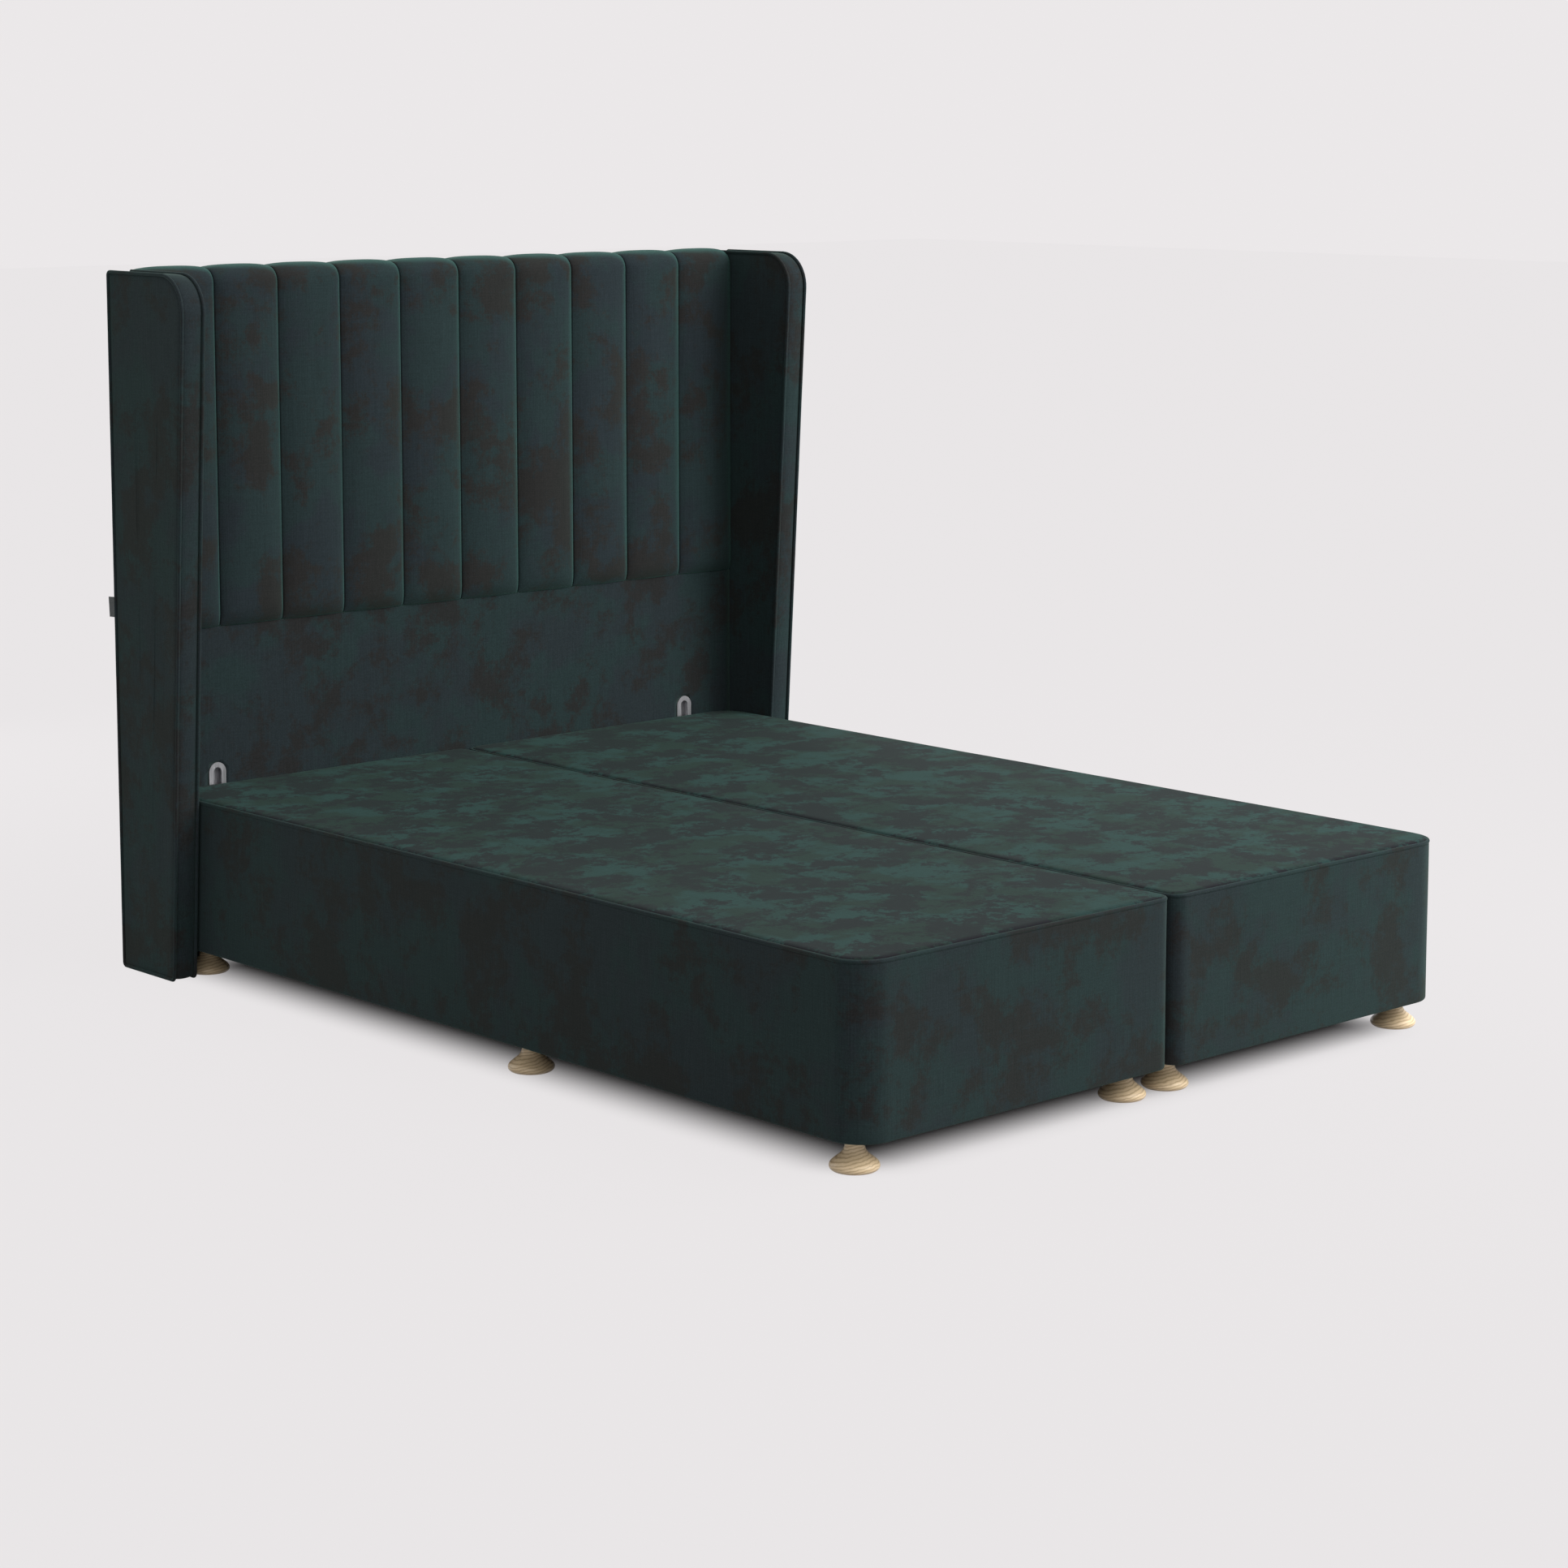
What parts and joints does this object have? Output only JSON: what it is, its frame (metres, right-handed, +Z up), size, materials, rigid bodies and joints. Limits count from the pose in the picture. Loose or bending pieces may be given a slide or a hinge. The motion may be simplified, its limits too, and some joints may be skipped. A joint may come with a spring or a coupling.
{
  "type": "divan bed",
  "caption": "Upholstered divan bed: two box bases side by side on turned wooden feet, and a winged, channelled headboard that stands on the floor",
  "frame": {"origin": "centre of the floor footprint, at floor level", "axes": "+X across the bed to the right seen from the foot end, +Y from the foot end to the headboard, +Z up"},
  "size_m": [1.621, 2.0718, 1.398],
  "materials": {
    "velvet": "crushed-nap velvet, dark teal green",
    "turned_wood": "pale turned hardwood, clear satin lacquer",
    "softwood": "planed softwood",
    "board": "plain plywood or hardboard",
    "dust_cover": "black non-woven cloth",
    "zinc_steel": "zinc plated",
    "bracket_steel": "satin zinc plated strip",
    "glide": "moulded nylon"
  },
  "bodies": {
    "bases": {"side_rails_left": "softwood", "end_rails_left": "softwood", "corner_boards_left": "softwood", "cross_battens_left": "softwood", "foot_battens_left": "softwood", "top_board_left": "board", "top_panel_left": "velvet", "border_left": "velvet", "base_piping_left": "velvet", "dust_cover_left": "dust_cover", "side_rails_right": "softwood", "end_rails_right": "softwood", "corner_boards_right": "softwood", "cross_battens_right": "softwood", "foot_battens_right": "softwood", "top_board_right": "board", "top_panel_right": "velvet", "border_right": "velvet", "base_piping_right": "velvet", "dust_cover_right": "dust_cover", "foot_left_1": "turned_wood", "foot_left_2": "turned_wood", "foot_left_3": "turned_wood", "foot_left_4": "turned_wood", "foot_left_5": "turned_wood", "foot_left_6": "turned_wood", "foot_right_1": "turned_wood", "foot_right_2": "turned_wood", "foot_right_3": "turned_wood", "foot_right_4": "turned_wood", "foot_right_5": "turned_wood", "foot_right_6": "turned_wood", "foot_studs": "zinc_steel", "foot_tee_nuts": "zinc_steel", "link_pivot_screws": "zinc_steel", "link_catch_screws": "zinc_steel", "headboard_bolts": "zinc_steel", "bolt_tee_nuts": "zinc_steel"},
    "headboard": {"headboard_stiles": "softwood", "headboard_rails": "softwood", "headboard_front_board": "board", "headboard_back_board": "board", "headboard_back_cover": "velvet", "bracket_left": "bracket_steel", "bracket_right": "bracket_steel", "bracket_screws": "zinc_steel", "headboard_glides": "glide", "wing_core_left": "board", "wing_cover_left": "velvet", "wing_piping_left": "velvet", "wing_core_right": "board", "wing_cover_right": "velvet", "wing_piping_right": "velvet", "lower_panel": "velvet", "channel_pad": "velvet"},
    "foot_link": {"link_bar_foot": "zinc_steel"},
    "head_link": {"link_bar_head": "zinc_steel"}
  },
  "joints": [
    {"name": "headboard_lift", "type": "slide", "parent": "bases", "child": "headboard", "axis": [0, 0, 1], "range_m": [0, 0.2]},
    {"name": "foot_link_swing", "type": "hinge", "parent": "bases", "child": "foot_link", "pos_m": [-0.045, -0.9299, 0.0522], "axis": [0, 0, 1], "range_deg": [0, 90]},
    {"name": "head_link_swing", "type": "hinge", "parent": "bases", "child": "head_link", "pos_m": [-0.045, 0.8621, 0.0522], "axis": [0, 0, -1], "range_deg": [0, 90]}
  ]
}
